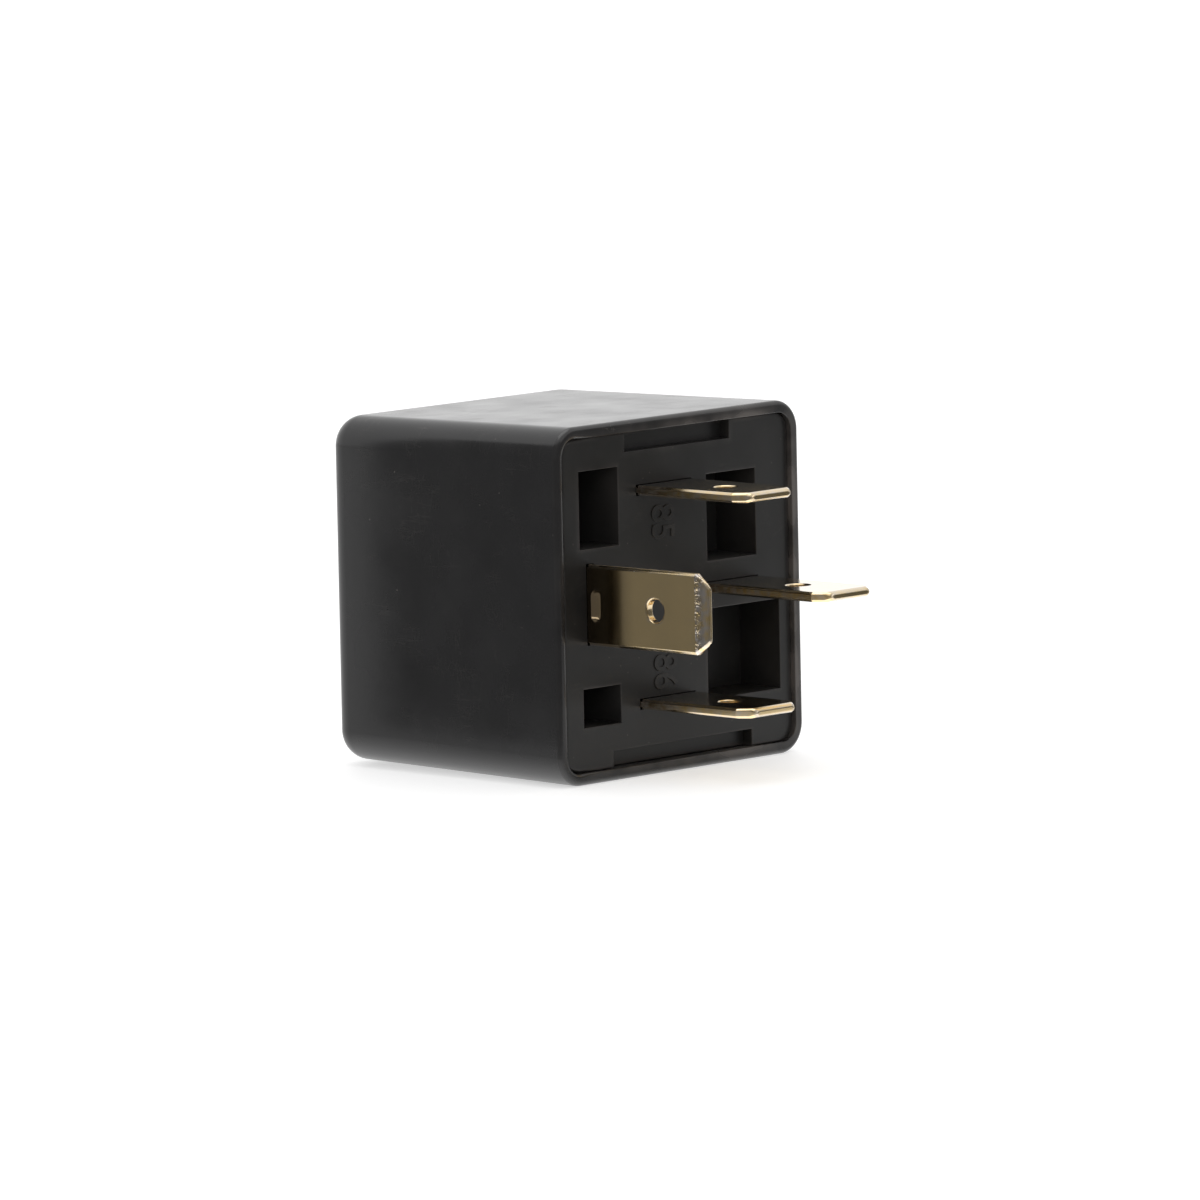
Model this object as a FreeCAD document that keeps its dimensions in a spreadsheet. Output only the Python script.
import FreeCAD, Part
import os
import re

import Sketcher

# Four-terminal automotive relay with a square moulded cover.
# Frame: +X is the way the blades point out of the base, +Z is up, and the relay lies on its side.
# The origin is the middle of the base plate's outer face. Sizes are in millimetres and degrees.

SIZES = {
    # Cover
    "cover_width": 28.0,
    "cover_height": 28.0,
    "cover_length": 25.2,
    "cover_wall": 0.95,
    "cover_corner_radius": 3.0,
    "cover_end_radius": 2.0,
    "cover_draft": 0.9,
    "rim_height": 0.42,
    # Base plate and the recesses moulded in its outer face
    "base_thickness": 4.6,
    "base_clearance": 0.05,
    "slot_clearance": 0.04,
    "pocket_depth": 4.15,
    "notch_depth": 0.9,
    "top_notch_middle": 0.3,
    "top_notch_width": 12.0,
    "top_notch_height": 1.5,
    "bottom_notch_middle": 0.35,
    "bottom_notch_width": 15.9,
    "bottom_notch_height": 1.3,
    # Core-outs in the same face, each set in from two edges of the plate
    "upper_left_side_gap": 2.04,
    "upper_left_width": 4.4,
    "upper_left_end_gap": 2.57,
    "upper_left_height": 6.1,
    "lower_left_side_gap": 2.14,
    "lower_left_width": 4.2,
    "lower_left_end_gap": 3.41,
    "lower_left_height": 3.01,
    "upper_right_side_gap": 3.79,
    "upper_right_width": 5.63,
    "upper_right_end_gap": 4.09,
    "upper_right_height": 6.85,
    "lower_right_side_gap": 1.24,
    "lower_right_width": 8.35,
    "lower_right_end_gap": 4.19,
    "lower_right_height": 7.1,
    # Blades
    "blade_width": 6.3,
    "blade_thickness": 0.8,
    "load_blade_reach": 12.7,
    "coil_blade_reach": 11.4,
    "load_hole_setback": 5.55,
    "coil_hole_setback": 4.85,
    "blade_hole_radius": 0.9,
    "tip_chamfer_length": 1.35,
    "tip_chamfer_width": 0.95,
    "tip_bevel_length": 1.5,
    "tip_bevel_depth": 0.2,
    "recess_setback": 0.35,
    "recess_width": 1.25,
    "recess_length": 2.7,
    "recess_depth": 0.3,
    "contact_blade_margin": 3.11,
    "coil_blade_margin": 4.61,
    "coil_blade_offset": 2.3,
    # Magnet: yoke, core, bobbin and winding
    "yoke_thickness": 1.6,
    "yoke_cover_gap": 2.49,
    "yoke_blade_gap": 2.48,
    "yoke_foot_reach": 5.5,
    "yoke_bend_radius": 0.8,
    "tenon_width": 2.8,
    "tenon_leg_gap": 1.32,
    "core_radius": 2.4,
    "core_tenon_radius": 1.25,
    "pole_radius": 4.6,
    "pole_thickness": 0.8,
    "core_clearance": 0.03,
    "bobbin_tube_wall": 0.6,
    "bobbin_flange_thickness": 0.9,
    "bobbin_leg_gap": 1.1,
    "bobbin_tab_gap": 0.45,
    "bobbin_blade_gap": 1.18,
    "bobbin_corner_radius": 1.0,
    "winding_inset": 0.3,
    "winding_clearance": 0.03,
    # Winding posts on the coil terminals and the wire ends wrapped round them
    "post_width": 1.2,
    "post_length": 4.9,
    "lead_radius": 0.15,
    "lead_gap": 0.04,
    "lead_setback": 3.9,
    "lead_take_off": 2.1,
    "lead_tail": 0.3,
    # Armature, which swings on the end of the yoke
    "armature_thickness": 1.5,
    "armature_width": 11.0,
    "armature_contact_gap": 1.2,
    "armature_end_gap": 0.1,
    "armature_heel_flat": 0.4,
    "armature_heel_slope": 1.5,
    "armature_gap": 0.05,
    "rest_angle": 3.0,
    # Contact spring and the hinge leaf that carries it
    "spring_thickness": 0.3,
    "spring_width": 7.0,
    "spring_tip_width": 4.6,
    "spring_shoulder": 0.7,
    "spring_tip": 1.9,
    "spring_split_gap": 0.35,
    "hinge_leaf_length": 7.4,
    "hinge_leaf_width": 8.0,
    "hinge_bend_radius": 1.1,
    # Contacts and rivets
    "contact_inset": 1.88,
    "contact_radius": 1.6,
    "contact_height": 0.9,
    "head_edge": 0.2,
    "contact_shank_radius": 0.7,
    "contact_back_radius": 1.1,
    "contact_back_height": 0.35,
    "contact_closed_gap": 0.05,
    "shank_clearance": 0.02,
    "rivet_shank_radius": 0.8,
    "rivet_head_radius": 1.4,
    "rivet_head_height": 0.5,
    "armature_rivet_y": 6.0,
    "armature_rivet_z": 2.3,
    "yoke_rivet_x": 5.2,
    "yoke_rivet_z": 2.6,
    # Arm of the contact terminal and the stop behind the moving contact
    "arm_width": 4.8,
    "arm_overhang": 1.75,
    "arm_bend_radius": 1.0,
    "stop_thickness": 0.6,
    "stop_width": 3.6,
    "stop_arm_gap": 0.7,
    "stop_socket_depth": 2.0,
    "stop_bend_radius": 0.8,
    "stop_overhang": 1.2,
    "stop_cover_gap": 0.66,
    "stop_clearance": 0.05,
    # Smallest radius on bent strip
    "inner_bend_radius": 0.3,
}

# Places that follow from the sizes, in the order in which they are worked out
PLACES = {
    "draft_slope": "tan(cover_draft * 1deg)",
    "base_half_width": "cover_width / 2 - rim_height * draft_slope - cover_wall - base_clearance",
    "base_half_height": "cover_height / 2 - rim_height * draft_slope - cover_wall - base_clearance",
    "base_corner_radius": "cover_corner_radius - cover_wall",
    "slot_half_width": "blade_width / 2 + slot_clearance",
    "slot_half_thickness": "blade_thickness / 2 + slot_clearance",
    "contact_blade_y": "contact_blade_margin - base_half_width",
    "coil_blade_z": "base_half_height - coil_blade_margin",
    "contact_y": "contact_blade_y + contact_inset",
    "foot_back": "-base_thickness - yoke_thickness",
    "hinge_y": "base_half_width - yoke_cover_gap",
    "leg_inside": "hinge_y - yoke_thickness",
    "yoke_width": "2 * (coil_blade_z - blade_thickness / 2 - yoke_blade_gap)",
    "common_blade_y": "leg_inside - tenon_leg_gap - tenon_width / 2",
    "bobbin_side_low": "contact_y + arm_overhang + bobbin_tab_gap",
    "bobbin_side_high": "leg_inside - bobbin_leg_gap",
    "coil_axis_y": "(bobbin_side_low + bobbin_side_high) / 2",
    "coil_blade_y": "coil_axis_y - coil_blade_offset",
    "flange_half_width": "(bobbin_side_high - bobbin_side_low) / 2",
    "flange_half_height": "coil_blade_z - blade_thickness / 2 - bobbin_blade_gap",
    "winding_radius": "min(flange_half_width; flange_half_height) - winding_inset",
    "bobbin_bore": "core_radius + core_clearance",
    "bobbin_tube_radius": "bobbin_bore + bobbin_tube_wall",
    "armature_outside": "-armature_thickness",
    "spring_outside": "-armature_thickness - spring_thickness",
    "contact_distance": "hinge_y - contact_y",
    "cover_inner_end": "rim_height - cover_length + cover_wall",
    "stop_x": "cover_inner_end + stop_cover_gap + stop_thickness",
    "hinge_x": (
        "stop_x - (spring_outside - contact_back_height) * cos(rest_angle * 1deg)"
        " + (contact_distance + contact_back_radius) * sin(rest_angle * 1deg) + stop_clearance"
    ),
    "pole_x": "hinge_x + armature_gap",
    "bobbin_length": "foot_back - pole_x - pole_thickness",
    "winding_length": "bobbin_length - 2 * bobbin_flange_thickness",
    "fixed_contact_x": "hinge_x - armature_thickness + contact_height + contact_closed_gap",
    "tab_outside": "fixed_contact_x + contact_height",
    "armature_reach": "contact_distance - contact_radius - armature_contact_gap",
    "spring_neck": "armature_reach + spring_shoulder",
    "spring_reach": "contact_distance + spring_tip",
    "stop_inside_y": "contact_blade_y - blade_thickness / 2 - stop_arm_gap",
    "shank_hole_radius": "contact_shank_radius + shank_clearance",
    "rivet_hole_radius": "rivet_shank_radius + shank_clearance",
    "leaf_bend_x": "hinge_x + spring_outside + hinge_bend_radius + spring_thickness",
    "leaf_bend_y": "hinge_y - hinge_bend_radius",
    "leaf_end_x": "hinge_x + hinge_leaf_length",
    "lead_x": "-base_thickness - lead_setback",
    "lead_offset": "post_width / 2 + lead_gap + lead_radius",
    "lead_start_z": "winding_radius + lead_gap + lead_radius",
    "lead_top_z": "coil_blade_z + blade_thickness / 2 + lead_gap + lead_radius",
    "lead_end_z": "coil_blade_z - blade_thickness / 2 - lead_tail",
}

NAMED = re.compile(r"[a-z]+(?:_[a-z]+)+")
STRAIGHT_TOLERANCE = 1e-6
PLACE_TOLERANCE = 1e-3
ALMOST_ALONG = 0.98
CORE_OUTS = ("upper_left", "lower_left", "upper_right", "lower_right")
# How a sketch numbers its own origin and the points of a line or circle
SKETCH_ORIGIN = (-1, 1)
START, END, CENTRE = 1, 2, 3


def expression(text):
    """Write the sheet's name before each named size and place."""

    def full_name(match):
        name = match.group(0)
        return ("Places." if name in PLACES else "Sizes.") + name

    return NAMED.sub(full_name, text)


def fill_sheet(doc, name, cells):
    """Make a spreadsheet with one named cell in each row."""
    sheet = doc.addObject("Spreadsheet::Sheet", name)
    for row, (alias, content) in enumerate(cells.items(), start=1):
        sheet.set(f"A{row}", alias)
        sheet.set(f"B{row}", content)
        sheet.setAlias(f"B{row}", alias)
    return sheet


def make_sheets(doc):
    """Keep the driving sizes in one sheet and what follows from them in another."""
    fill_sheet(doc, "Sizes", {alias: str(value) for alias, value in SIZES.items()})
    doc.recompute()
    fill_sheet(doc, "Places", {name: "=" + expression(text) for name, text in PLACES.items()})
    doc.recompute()


def value_of(doc, text):
    """Work out an expression of named sizes as a plain number."""
    return float(doc.Sizes.evalExpression(expression(text)))


def new_body(doc, name):
    """Start a sub-part, whose label is also the name of its file."""
    body = doc.addObject("PartDesign::Body", name)
    body.Label = name
    return body


def place(body, x="0", y="0", z="0"):
    """Bind a sub-part's place to the sheet."""
    for axis, text in zip("xyz", (x, y, z)):
        body.setExpression(f"Placement.Base.{axis}", expression(text))


def origin_plane(body, role):
    """Find one of the body's own origin planes by its role."""
    return [feature for feature in body.Origin.OriginFeatures if feature.Role == role][0]


def new_sketch(body, role, offset="0"):
    """Attach a sketch to one of the body's own origin planes, moved along the plane's normal."""
    sketch = body.newObject("Sketcher::SketchObject", body.Name + "_profile")
    sketch.AttachmentSupport = [(origin_plane(body, role), "")]
    sketch.MapMode = "FlatFace"
    sketch.setExpression("AttachmentOffset.Base.z", expression(offset))
    return sketch


def pin_point(sketch, geometry, point, x, y):
    """Hold one point of a sketch at a place given by two expressions."""
    doc = sketch.Document
    for kind, text in (("DistanceX", x), ("DistanceY", y)):
        index = sketch.addConstraint(
            Sketcher.Constraint(kind, *SKETCH_ORIGIN, geometry, point, value_of(doc, text))
        )
        sketch.setExpression(f"Constraints[{index}]", expression(text))


def add_polygon(sketch, corners):
    """Draw a closed outline whose corners are pairs of expressions."""
    doc = sketch.Document
    points = [FreeCAD.Vector(value_of(doc, x), value_of(doc, y), 0) for x, y in corners]
    count = len(points)
    first = sketch.GeometryCount
    for index in range(count):
        sketch.addGeometry(Part.LineSegment(points[index], points[(index + 1) % count]), False)
    for index in range(count):
        following = first + (index + 1) % count
        sketch.addConstraint(
            Sketcher.Constraint("Coincident", first + index, END, following, START)
        )
    for index, (x, y) in enumerate(corners):
        pin_point(sketch, first + index, START, x, y)


def add_rectangle(sketch, left, right, bottom, top):
    """Draw a rectangle from its four sides."""
    add_polygon(sketch, [(left, bottom), (right, bottom), (right, top), (left, top)])


def add_centred_rectangle(sketch, half_width, half_height, x="0", y="0"):
    """Draw a rectangle about a point."""
    add_rectangle(
        sketch,
        f"{x} - ({half_width})",
        f"{x} + ({half_width})",
        f"{y} - ({half_height})",
        f"{y} + ({half_height})",
    )


def add_circle(sketch, radius, x="0", y="0"):
    """Draw a circle."""
    doc = sketch.Document
    centre = FreeCAD.Vector(value_of(doc, x), value_of(doc, y), 0)
    index = sketch.addGeometry(
        Part.Circle(centre, FreeCAD.Vector(0, 0, 1), value_of(doc, radius)), False
    )
    constraint = sketch.addConstraint(
        Sketcher.Constraint("Radius", index, value_of(doc, radius))
    )
    sketch.setExpression(f"Constraints[{constraint}]", expression(radius))
    pin_point(sketch, index, CENTRE, x, y)


def extrude(body, kind, sketch, length, reverse=False, both_ways=False):
    """Pad or pocket a sketch by a bound length."""
    feature = body.newObject("PartDesign::" + kind, body.Name + "_" + kind.lower())
    feature.Profile = sketch
    feature.setExpression("Length", expression(length))
    feature.Reversed = reverse
    if both_ways:
        feature.SideType = "Symmetric"
    body.Document.recompute()
    return feature


def pad(body, sketch, length, **options):
    """Add material over a sketch."""
    return extrude(body, "Pad", sketch, length, **options)


def pocket(body, sketch, length, **options):
    """Remove material under a sketch, and make sure that some was there."""
    before = body.Shape.Volume
    feature = extrude(body, "Pocket", sketch, length, **options)
    if feature.Shape.Volume > before - STRAIGHT_TOLERANCE:
        raise RuntimeError(feature.Label + " removes nothing")
    return feature


def revolve(body, sketch):
    """Turn a profile about the sketch's own horizontal axis."""
    feature = body.newObject("PartDesign::Revolution", body.Name + "_turn")
    feature.Profile = sketch
    feature.ReferenceAxis = (sketch, ["H_Axis"])
    feature.Angle = 360
    body.Document.recompute()
    return feature


def edges_where(feature, wanted):
    """List the straight edges that pass a test of their direction and middle."""
    names = []
    for index, edge in enumerate(feature.Shape.Edges, start=1):
        ends = [vertex.Point for vertex in edge.Vertexes]
        if len(ends) < 2 or edge.Length > (ends[1] - ends[0]).Length + STRAIGHT_TOLERANCE:
            continue
        direction = (ends[1] - ends[0]).normalize()
        if wanted(direction, (ends[0] + ends[1]) * 0.5):
            names.append(f"Edge{index}")
    return names


def round_edges(body, feature, names, radius):
    """Round the named edges of a feature."""
    fillet = body.newObject("PartDesign::Fillet", body.Name + "_round")
    fillet.Base = (feature, names)
    fillet.setExpression("Radius", expression(radius))
    body.Document.recompute()
    return fillet


def along_x(direction, middle):
    """Pick edges that run along the relay, allowing for the moulding draft."""
    return abs(direction.x) > ALMOST_ALONG


def across_at(doc, axis, x, height, axis_name="z"):
    """Pick edges along one axis that pass near a corner given in the profile's plane."""
    corner_x = value_of(doc, x)
    corner_height = value_of(doc, height)

    def test(direction, middle):
        runs_along = abs(getattr(direction, axis)) > ALMOST_ALONG
        near_x = abs(middle.x - corner_x) < PLACE_TOLERANCE
        near_height = abs(getattr(middle, axis_name) - corner_height) < PLACE_TOLERANCE
        return runs_along and near_x and near_height

    return test


def ring_at(feature, x):
    """List the edges that lie wholly in the plane across the relay at one X."""
    names = []
    for index, edge in enumerate(feature.Shape.Edges, start=1):
        box = edge.BoundBox
        if abs(box.XMin - x) < PLACE_TOLERANCE and abs(box.XMax - x) < PLACE_TOLERANCE:
            names.append(f"Edge{index}")
    return names


def make_drafted_block(doc, name, half_width, half_height, depth, front="0"):
    """Block with flat sides that lean in with the moulding draft, from a front face towards -X."""
    body = new_body(doc, name)
    block = body.newObject("PartDesign::AdditiveWedge", name + "_form")
    block.AttachmentSupport = [(origin_plane(body, "XY_Plane"), "")]
    block.MapMode = "FlatFace"
    block.AttachmentOffset = FreeCAD.Placement(
        FreeCAD.Vector(0, 0, 0), FreeCAD.Rotation(FreeCAD.Vector(0, 0, 1), 90)
    )
    block.setExpression("AttachmentOffset.Base.x", expression(front))
    lean = f"({depth}) * draft_slope"
    limits = {
        "Ymin": "0",
        "Ymax": depth,
        "Xmin": f"-({half_width})",
        "Xmax": half_width,
        "Zmin": f"-({half_height})",
        "Zmax": half_height,
        "X2min": f"{lean} - ({half_width})",
        "X2max": f"{half_width} - {lean}",
        "Z2min": f"{lean} - ({half_height})",
        "Z2max": f"{half_height} - {lean}",
    }
    for side, text in limits.items():
        block.setExpression(side, expression(text))
    doc.recompute()
    return body, block


def make_cover_form(doc, name, inset):
    """One face of the cover's wall: a drafted block with round long edges and a round end."""
    body, block = make_drafted_block(
        doc,
        name,
        f"cover_width / 2 - {inset}",
        f"cover_height / 2 - {inset}",
        f"cover_length - {inset}",
        "rim_height",
    )
    sides = round_edges(
        body, block, edges_where(block, along_x), f"cover_corner_radius - {inset}"
    )
    end_x = value_of(doc, f"rim_height - cover_length + {inset}")
    round_edges(body, sides, ring_at(sides, end_x), f"cover_end_radius - {inset}")
    return body


def make_cover(doc):
    """Cover: a moulded box with draft, rounded edges and an even wall, open at the rim."""
    cover = doc.addObject("Part::Cut", "cover")
    cover.Base = make_cover_form(doc, "cover_outside", "0")
    cover.Tool = make_cover_form(doc, "cover_inside", "cover_wall")
    cover.Label = "cover"
    return cover


def core_out_span(half, start, extent, mirrored):
    """Two sides of a core-out, the first set in from one edge of the plate."""
    near = f"{half} - {start}"
    far = f"{near} - {extent}"
    return (f"-({near})", f"-({far})") if mirrored else (far, near)


def make_base(doc):
    """Base plate: closes the cover behind its rim and holds the four blades in slots."""
    body, block = make_drafted_block(
        doc, "base_plate", "base_half_width", "base_half_height", "base_thickness"
    )
    round_edges(body, block, edges_where(block, along_x), "base_corner_radius")
    for name in CORE_OUTS:
        row, column = name.split("_")
        spans = core_out_span(
            "base_half_width", name + "_side_gap", name + "_width", column == "left"
        ) + core_out_span("base_half_height", name + "_end_gap", name + "_height", row == "lower")
        hollow = new_sketch(body, "YZ_Plane")
        add_rectangle(hollow, *spans)
        pocket(body, hollow, "pocket_depth")
    for name, sign in (("top_notch", ""), ("bottom_notch", "-")):
        notch = new_sketch(body, "YZ_Plane")
        add_centred_rectangle(
            notch,
            f"{name}_width / 2",
            f"{name}_height",
            f"{name}_middle",
            f"{sign}base_half_height",
        )
        pocket(body, notch, "notch_depth")
    slots = new_sketch(body, "YZ_Plane")
    add_centred_rectangle(slots, "slot_half_thickness", "slot_half_width", "contact_blade_y")
    add_centred_rectangle(slots, "slot_half_width", "slot_half_thickness", "common_blade_y")
    for side in ("", "-"):
        add_centred_rectangle(
            slots, "slot_half_width", "slot_half_thickness", "coil_blade_y", side + "coil_blade_z"
        )
    pocket(body, slots, "base_thickness")
    socket = new_sketch(body, "YZ_Plane", "-base_thickness")
    add_rectangle(
        socket,
        "stop_inside_y - stop_thickness - slot_clearance",
        "stop_inside_y + slot_clearance",
        "-stop_width / 2 - slot_clearance",
        "stop_width / 2 + slot_clearance",
    )
    pocket(body, socket, "stop_socket_depth", reverse=True)
    return body


def add_blade(body, reach, hole_setback, root_corners):
    """Blade in the XY plane: flat tongue with cut corners, a bevelled tip and a detent hole."""
    half = "blade_width / 2"
    outline = new_sketch(body, "XY_Plane")
    tip_side = [
        (f"{reach} - tip_chamfer_length", f"-{half}"),
        (reach, f"-{half} + tip_chamfer_width"),
        (reach, f"{half} - tip_chamfer_width"),
        (f"{reach} - tip_chamfer_length", half),
    ]
    add_polygon(outline, tip_side + root_corners)
    pad(body, outline, "blade_thickness", both_ways=True)
    bevel = new_sketch(body, "XZ_Plane")
    for side in ("", "-"):
        add_polygon(
            bevel,
            [
                (f"{reach} - tip_bevel_length", f"{side}(blade_thickness / 2)"),
                (reach, f"{side}(blade_thickness / 2 - tip_bevel_depth)"),
                (reach, f"{side}(blade_thickness / 2)"),
            ],
        )
    pocket(body, bevel, "2 * blade_width", both_ways=True)
    hole = new_sketch(body, "XY_Plane")
    add_circle(hole, "blade_hole_radius", f"{reach} - {hole_setback}")
    pocket(body, hole, "2 * blade_thickness", both_ways=True)


def make_coil_terminal(doc, name, side):
    """Coil terminal: a shorter blade that narrows to a winding post inside the relay."""
    body = new_body(doc, name)
    half = "blade_width / 2"
    add_blade(
        body,
        "coil_blade_reach",
        "coil_hole_setback",
        [
            ("-base_thickness", half),
            ("-base_thickness", "post_width / 2"),
            ("-base_thickness - post_length", "post_width / 2"),
            ("-base_thickness - post_length", "-post_width / 2"),
            ("-base_thickness", "-post_width / 2"),
            ("-base_thickness", f"-{half}"),
        ],
    )
    place(body, y="coil_blade_y", z=side + "coil_blade_z")
    return body


def make_common_terminal(doc):
    """Common terminal: a load blade whose tenon is staked in the foot of the yoke."""
    body = new_body(doc, "terminal_30")
    half = "blade_width / 2"
    add_blade(
        body,
        "load_blade_reach",
        "load_hole_setback",
        [
            ("-base_thickness", half),
            ("-base_thickness", "tenon_width / 2"),
            ("foot_back", "tenon_width / 2"),
            ("foot_back", "-tenon_width / 2"),
            ("-base_thickness", "-tenon_width / 2"),
            ("-base_thickness", f"-{half}"),
        ],
    )
    place(body, y="common_blade_y")
    return body


def make_contact_terminal(doc):
    """Contact terminal: an upright load blade with an arm that bends in under the contact."""
    body = new_body(doc, "terminal_87")
    half = "blade_width / 2"
    add_blade(
        body,
        "load_blade_reach",
        "load_hole_setback",
        [("-base_thickness", half), ("-base_thickness", f"-{half}")],
    )
    recess = new_sketch(body, "YZ_Plane", "recess_setback + recess_width")
    face = "blade_thickness / 2"
    add_polygon(
        recess,
        [
            ("-recess_length / 2", face),
            ("recess_depth - recess_length / 2", f"{face} - recess_depth"),
            ("recess_length / 2 - recess_depth", f"{face} - recess_depth"),
            ("recess_length / 2", face),
        ],
    )
    pocket(body, recess, "recess_width")
    contact_depth = "(contact_blade_y - contact_y)"
    arm = new_sketch(body, "XZ_Plane")
    add_polygon(
        arm,
        [
            ("-base_thickness", "blade_thickness / 2"),
            ("tab_outside", "blade_thickness / 2"),
            ("tab_outside", f"{contact_depth} - arm_overhang"),
            ("tab_outside + blade_thickness", f"{contact_depth} - arm_overhang"),
            ("tab_outside + blade_thickness", "-blade_thickness / 2"),
            ("-base_thickness", "-blade_thickness / 2"),
        ],
    )
    bent = pad(body, arm, "arm_width", both_ways=True)
    outer = edges_where(bent, across_at(doc, "y", "tab_outside", "blade_thickness / 2"))
    rounded = round_edges(body, bent, outer, "arm_bend_radius")
    inner = edges_where(
        rounded, across_at(doc, "y", "tab_outside + blade_thickness", "-blade_thickness / 2")
    )
    round_edges(body, rounded, inner, "inner_bend_radius")
    hole = new_sketch(body, "YZ_Plane", "tab_outside")
    add_circle(hole, "shank_hole_radius", "0", contact_depth)
    pocket(body, hole, "4 * blade_thickness", both_ways=True)
    body.Placement.Rotation = FreeCAD.Rotation(FreeCAD.Vector(1, 0, 0), 90)
    place(body, y="contact_blade_y")
    return body


def make_yoke(doc):
    """Yoke: an L of soft iron, its foot on the base plate and its leg beside the coil."""
    body = new_body(doc, "yoke")
    profile = new_sketch(body, "XY_Plane")
    foot_end = "coil_axis_y - yoke_foot_reach"
    add_polygon(
        profile,
        [
            ("-base_thickness", foot_end),
            ("-base_thickness", "hinge_y"),
            ("pole_x", "hinge_y"),
            ("pole_x", "leg_inside"),
            ("foot_back", "leg_inside"),
            ("foot_back", foot_end),
        ],
    )
    block = pad(body, profile, "yoke_width", both_ways=True)
    outer = edges_where(block, across_at(doc, "z", "-base_thickness", "hinge_y", "y"))
    rounded = round_edges(body, block, outer, "yoke_bend_radius + yoke_thickness")
    inner = edges_where(rounded, across_at(doc, "z", "foot_back", "leg_inside", "y"))
    round_edges(body, rounded, inner, "yoke_bend_radius")
    core_hole = new_sketch(body, "YZ_Plane", "-base_thickness")
    add_circle(core_hole, "core_tenon_radius + shank_clearance", "coil_axis_y")
    pocket(body, core_hole, "2 * yoke_thickness", both_ways=True)
    blade_hole = new_sketch(body, "YZ_Plane", "-base_thickness")
    add_centred_rectangle(
        blade_hole, "tenon_width / 2 + slot_clearance", "slot_half_thickness", "common_blade_y"
    )
    pocket(body, blade_hole, "2 * yoke_thickness", both_ways=True)
    rivet_holes = new_sketch(body, "XZ_Plane", "-hinge_y")
    for side in ("", "-"):
        add_circle(
            rivet_holes, "rivet_hole_radius", "hinge_x + yoke_rivet_x", side + "yoke_rivet_z"
        )
    pocket(body, rivet_holes, "2 * yoke_thickness", both_ways=True)
    return body


def make_core(doc):
    """Core: a turned iron pin with a riveted tenon in the foot and a broad pole face."""
    body = new_body(doc, "core")
    profile = new_sketch(body, "XY_Plane")
    add_polygon(
        profile,
        [
            ("-base_thickness", "0"),
            ("-base_thickness", "core_tenon_radius"),
            ("foot_back", "core_tenon_radius"),
            ("foot_back", "core_radius"),
            ("pole_x + pole_thickness", "core_radius"),
            ("pole_x + pole_thickness", "pole_radius"),
            ("pole_x", "pole_radius"),
            ("pole_x", "0"),
        ],
    )
    revolve(body, profile)
    place(body, y="coil_axis_y")
    return body


def make_bobbin(doc):
    """Bobbin: a moulded tube between two square flanges."""
    body = new_body(doc, "bobbin")
    flange_starts = ("foot_back", "foot_back - bobbin_length + bobbin_flange_thickness")
    for start in flange_starts:
        flange = new_sketch(body, "YZ_Plane", start)
        add_centred_rectangle(flange, "flange_half_width", "flange_half_height")
        pad(body, flange, "bobbin_flange_thickness", reverse=True)
        if start == "foot_back":
            tube = new_sketch(body, "YZ_Plane", start)
            add_circle(tube, "bobbin_tube_radius")
            pad(body, tube, "bobbin_length", reverse=True)
    tube_radius = value_of(doc, "bobbin_tube_radius") + PLACE_TOLERANCE
    corners = edges_where(
        body.Tip, lambda direction, middle: along_x(direction, middle) and abs(middle.y) > tube_radius
    )
    round_edges(body, body.Tip, corners, "bobbin_corner_radius")
    bore = new_sketch(body, "YZ_Plane", "foot_back")
    add_circle(bore, "bobbin_bore")
    pocket(body, bore, "2 * bobbin_length", both_ways=True)
    place(body, y="coil_axis_y")
    return body


def make_winding(doc):
    """Winding: the full coil of wire as one ring, with eased edges."""
    body = new_body(doc, "coil_winding")
    ring = new_sketch(body, "YZ_Plane", "foot_back - bobbin_flange_thickness - winding_clearance")
    add_circle(ring, "winding_radius")
    add_circle(ring, "bobbin_tube_radius + winding_clearance")
    pad(body, ring, "winding_length - 2 * winding_clearance", reverse=True)
    place(body, y="coil_axis_y")
    return body


def make_lead(doc, name, side):
    """Wire end: leaves the winding, climbs beside the post and hooks over it."""
    body = new_body(doc, name)
    start_y = "coil_axis_y + lead_take_off"
    near_y = "coil_blade_y + lead_offset"
    far_y = "coil_blade_y - lead_offset"
    path = new_sketch(body, "YZ_Plane", "lead_x")
    points = [
        (start_y, "lead_start_z"),
        (near_y, "lead_start_z"),
        (near_y, "lead_top_z"),
        (far_y, "lead_top_z"),
        (far_y, "lead_end_z"),
    ]
    corners = [(y, f"{side}({z})") for y, z in points]
    places = [FreeCAD.Vector(value_of(doc, y), value_of(doc, z), 0) for y, z in corners]
    for index in range(len(places) - 1):
        path.addGeometry(Part.LineSegment(places[index], places[index + 1]), False)
        if index:
            path.addConstraint(Sketcher.Constraint("Coincident", index - 1, END, index, START))
        pin_point(path, index, START, *corners[index])
    pin_point(path, index, END, *corners[-1])
    section = new_sketch(body, "XZ_Plane", f"-({start_y})")
    add_circle(section, "lead_radius", "lead_x", corners[0][1])
    doc.recompute()
    wire = body.newObject("PartDesign::AdditivePipe", name + "_wire")
    wire.Profile = section
    wire.Spine = (path, [f"Edge{index + 1}" for index in range(len(places) - 1)])
    wire.Transition = "Right corner"
    doc.recompute()
    return body


def swing(body, x="0", y="0", z="0", turned="0"):
    """Place a piece of the armature from its spot in the closed armature, tipped back to rest."""
    sine = "sin(rest_angle * 1deg)"
    cosine = "cos(rest_angle * 1deg)"
    body.Placement.Rotation = FreeCAD.Rotation(FreeCAD.Vector(0, 0, -1), 1)
    body.setExpression("Placement.Rotation.Angle", expression(f"rest_angle + {turned}"))
    place(
        body,
        f"hinge_x + ({x}) * {cosine} + ({y}) * {sine}",
        f"hinge_y - ({x}) * {sine} + ({y}) * {cosine}",
        z,
    )


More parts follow.
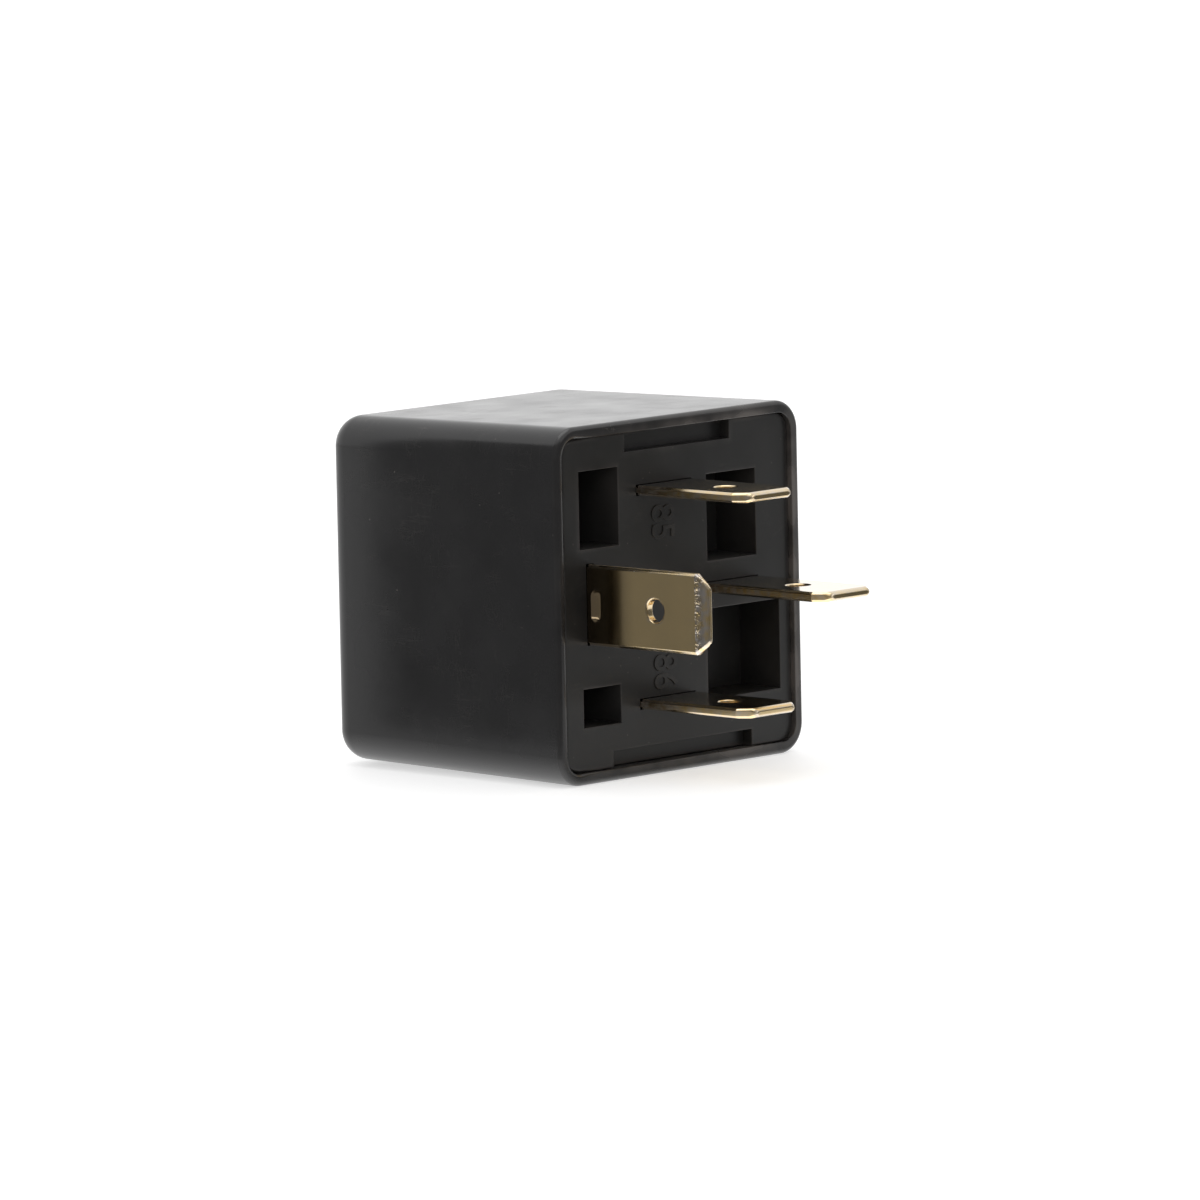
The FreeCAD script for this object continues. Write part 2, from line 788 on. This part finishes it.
def make_armature(doc):
    """Armature: an iron plate with a sloped heel that tips on the end of the yoke."""
    body = new_body(doc, "armature")
    profile = new_sketch(body, "XY_Plane")
    add_polygon(
        profile,
        [
            ("0", "-armature_end_gap"),
            ("-armature_heel_flat", "-armature_end_gap"),
            ("armature_outside", "-armature_heel_slope"),
            ("armature_outside", "-armature_reach"),
            ("0", "-armature_reach"),
        ],
    )
    pad(body, profile, "armature_width", both_ways=True)
    holes = new_sketch(body, "YZ_Plane")
    for side in ("", "-"):
        add_circle(holes, "rivet_hole_radius", "-armature_rivet_y", side + "armature_rivet_z")
    pocket(body, holes, "3 * armature_thickness", both_ways=True)
    swing(body)
    return body


def make_contact_spring(doc):
    """Contact spring: a flat leaf riveted on the armature, narrower where it carries the contact."""
    body = new_body(doc, "contact_spring")
    outline = new_sketch(body, "YZ_Plane", "armature_outside")
    root = "-hinge_bend_radius - spring_split_gap"
    add_polygon(
        outline,
        [
            (root, "-spring_width / 2"),
            (root, "spring_width / 2"),
            ("-spring_neck", "spring_width / 2"),
            ("-contact_distance + contact_radius", "spring_tip_width / 2"),
            ("-spring_reach", "spring_tip_width / 2"),
            ("-spring_reach", "-spring_tip_width / 2"),
            ("-contact_distance + contact_radius", "-spring_tip_width / 2"),
            ("-spring_neck", "-spring_width / 2"),
        ],
    )
    pad(body, outline, "spring_thickness", reverse=True)
    holes = new_sketch(body, "YZ_Plane", "armature_outside")
    add_circle(holes, "shank_hole_radius", "-contact_distance")
    for side in ("", "-"):
        add_circle(holes, "rivet_hole_radius", "-armature_rivet_y", side + "armature_rivet_z")
    pocket(body, holes, "3 * spring_thickness", both_ways=True)
    swing(body)
    return body


def make_hinge_leaf(doc):
    """Hinge leaf: the fixed leg of the spring, riveted to the yoke and bent over its end."""
    body = new_body(doc, "hinge_spring")
    leg = new_sketch(body, "XY_Plane")
    add_rectangle(leg, "leaf_bend_x", "leaf_end_x", "hinge_y", "hinge_y + spring_thickness")
    pad(body, leg, "hinge_leaf_width", both_ways=True)
    quarter = new_sketch(body, "XY_Plane")
    add_circle(quarter, "hinge_bend_radius + spring_thickness", "leaf_bend_x", "leaf_bend_y")
    add_circle(quarter, "hinge_bend_radius", "leaf_bend_x", "leaf_bend_y")
    pad(body, quarter, "hinge_leaf_width", both_ways=True)
    waste = new_sketch(body, "XY_Plane")
    outer = "(hinge_bend_radius + 2 * spring_thickness)"
    add_polygon(
        waste,
        [
            (f"leaf_bend_x - {outer}", "leaf_bend_y"),
            (f"leaf_bend_x - {outer}", f"leaf_bend_y - {outer}"),
            (f"leaf_bend_x + {outer}", f"leaf_bend_y - {outer}"),
            (f"leaf_bend_x + {outer}", "hinge_y"),
            ("leaf_bend_x", "hinge_y"),
            ("leaf_bend_x", "leaf_bend_y"),
        ],
    )
    pocket(body, waste, "2 * hinge_leaf_width", both_ways=True)
    holes = new_sketch(body, "XZ_Plane", "-hinge_y")
    for side in ("", "-"):
        add_circle(holes, "rivet_hole_radius", "hinge_x + yoke_rivet_x", side + "yoke_rivet_z")
    pocket(body, holes, "4 * spring_thickness", both_ways=True)
    return body


def add_rivet(body, grip, head_radius, head_height, shank_radius, back=None):
    """Turn a rivet about X: its head lies past +X and its shank runs back through the grip."""
    corners = [
        (head_height, "0"),
        (head_height, f"{head_radius} - head_edge"),
        (f"{head_height} - head_edge", head_radius),
        ("0", head_radius),
        ("0", shank_radius),
        (f"-({grip})", shank_radius),
    ]
    if back:
        back_radius, back_height = back
        corners += [
            (f"-({grip})", back_radius),
            (f"-({grip}) - {back_height}", back_radius),
            (f"-({grip}) - {back_height}", "0"),
        ]
    else:
        corners.append((f"-({grip})", "0"))
    profile = new_sketch(body, "XY_Plane")
    add_polygon(profile, corners)
    revolve(body, profile)


CONTACT = ("contact_radius", "contact_height", "contact_shank_radius")
CONTACT_BACK = ("contact_back_radius", "contact_back_height")
RIVET = ("rivet_head_radius", "rivet_head_height", "rivet_shank_radius")


def turn_about_z(body, angle):
    """Point a rivet's head another way."""
    body.Placement.Rotation = FreeCAD.Rotation(FreeCAD.Vector(0, 0, 1), angle)


def make_moving_contact(doc):
    """Moving contact: a contact rivet in the tip of the spring, its face towards the base."""
    body = new_body(doc, "moving_contact")
    add_rivet(body, "spring_thickness", *CONTACT, back=CONTACT_BACK)
    swing(body, "armature_outside", "-contact_distance")
    return body


def make_fixed_contact(doc):
    """Fixed contact: a contact rivet in the tab of the contact terminal, facing the moving one."""
    body = new_body(doc, "fixed_contact")
    add_rivet(body, "blade_thickness", *CONTACT, back=CONTACT_BACK)
    turn_about_z(body, 180)
    place(body, "tab_outside", "contact_y")
    return body


def make_rivets(doc):
    """Rivets: two hold the spring on the armature and two hold the hinge leaf on the yoke."""
    bodies = []
    for word, side in (("upper", ""), ("lower", "-")):
        rivet = new_body(doc, "armature_rivet_" + word)
        add_rivet(rivet, "spring_thickness + armature_thickness", *RIVET)
        swing(rivet, "spring_outside", "-armature_rivet_y", side + "armature_rivet_z", "180")
        bodies.append(rivet)
        rivet = new_body(doc, "yoke_rivet_" + word)
        add_rivet(rivet, "spring_thickness + yoke_thickness", *RIVET)
        turn_about_z(rivet, 90)
        place(rivet, "hinge_x + yoke_rivet_x", "hinge_y + spring_thickness", side + "yoke_rivet_z")
        bodies.append(rivet)
    return bodies


def make_back_stop(doc):
    """Back stop: a steel strip set in the base, bent in behind the moving contact."""
    body = new_body(doc, "back_stop")
    outside_y = "(stop_inside_y - stop_thickness)"
    root_x = "stop_socket_depth - base_thickness"
    profile = new_sketch(body, "XY_Plane")
    add_polygon(
        profile,
        [
            (root_x, "stop_inside_y"),
            ("stop_x", "stop_inside_y"),
            ("stop_x", "contact_y + stop_overhang"),
            ("stop_x - stop_thickness", "contact_y + stop_overhang"),
            ("stop_x - stop_thickness", outside_y),
            (root_x, outside_y),
        ],
    )
    strip = pad(body, profile, "stop_width", both_ways=True)
    outer = edges_where(strip, across_at(doc, "z", "stop_x - stop_thickness", outside_y, "y"))
    rounded = round_edges(body, strip, outer, "stop_bend_radius")
    inner = edges_where(rounded, across_at(doc, "z", "stop_x", "stop_inside_y", "y"))
    round_edges(body, rounded, inner, "inner_bend_radius")
    return body


def make_relay(doc):
    """Build every separate piece of the relay and return them in order."""
    bodies = [
        make_cover(doc),
        make_base(doc),
        make_common_terminal(doc),
        make_coil_terminal(doc, "terminal_85", ""),
        make_coil_terminal(doc, "terminal_86", "-"),
        make_contact_terminal(doc),
        make_yoke(doc),
        make_core(doc),
        make_bobbin(doc),
        make_winding(doc),
        make_lead(doc, "coil_lead_85", ""),
        make_lead(doc, "coil_lead_86", "-"),
        make_hinge_leaf(doc),
        make_fixed_contact(doc),
        make_back_stop(doc),
        make_armature(doc),
        make_contact_spring(doc),
        make_moving_contact(doc),
    ]
    return bodies + make_rivets(doc)


def check_document(doc, bodies):
    """Stop if any feature failed or any piece isn't one sound solid."""
    for item in doc.Objects:
        if "Invalid" in item.State or "Error" in item.State:
            raise RuntimeError(f"{item.Label} failed: {item.getStatusString()}")
    for body in bodies:
        if body.Shape.isNull() or not body.Shape.isValid() or len(body.Shape.Solids) != 1:
            raise RuntimeError(body.Label + " isn't one valid solid")


def main():
    """Build the relay, check it and write each piece to its own file."""
    doc = FreeCAD.newDocument("relay")
    make_sheets(doc)
    bodies = make_relay(doc)
    doc.recompute()
    check_document(doc, bodies)
    os.makedirs("parts", exist_ok=True)
    for body in bodies:
        body.Shape.exportStep(os.path.join("parts", body.Label + ".step"))
        print(f"{body.Label}: {body.Shape.Volume:.2f} cubic millimetres")


if __name__ == "__main__":
    main()
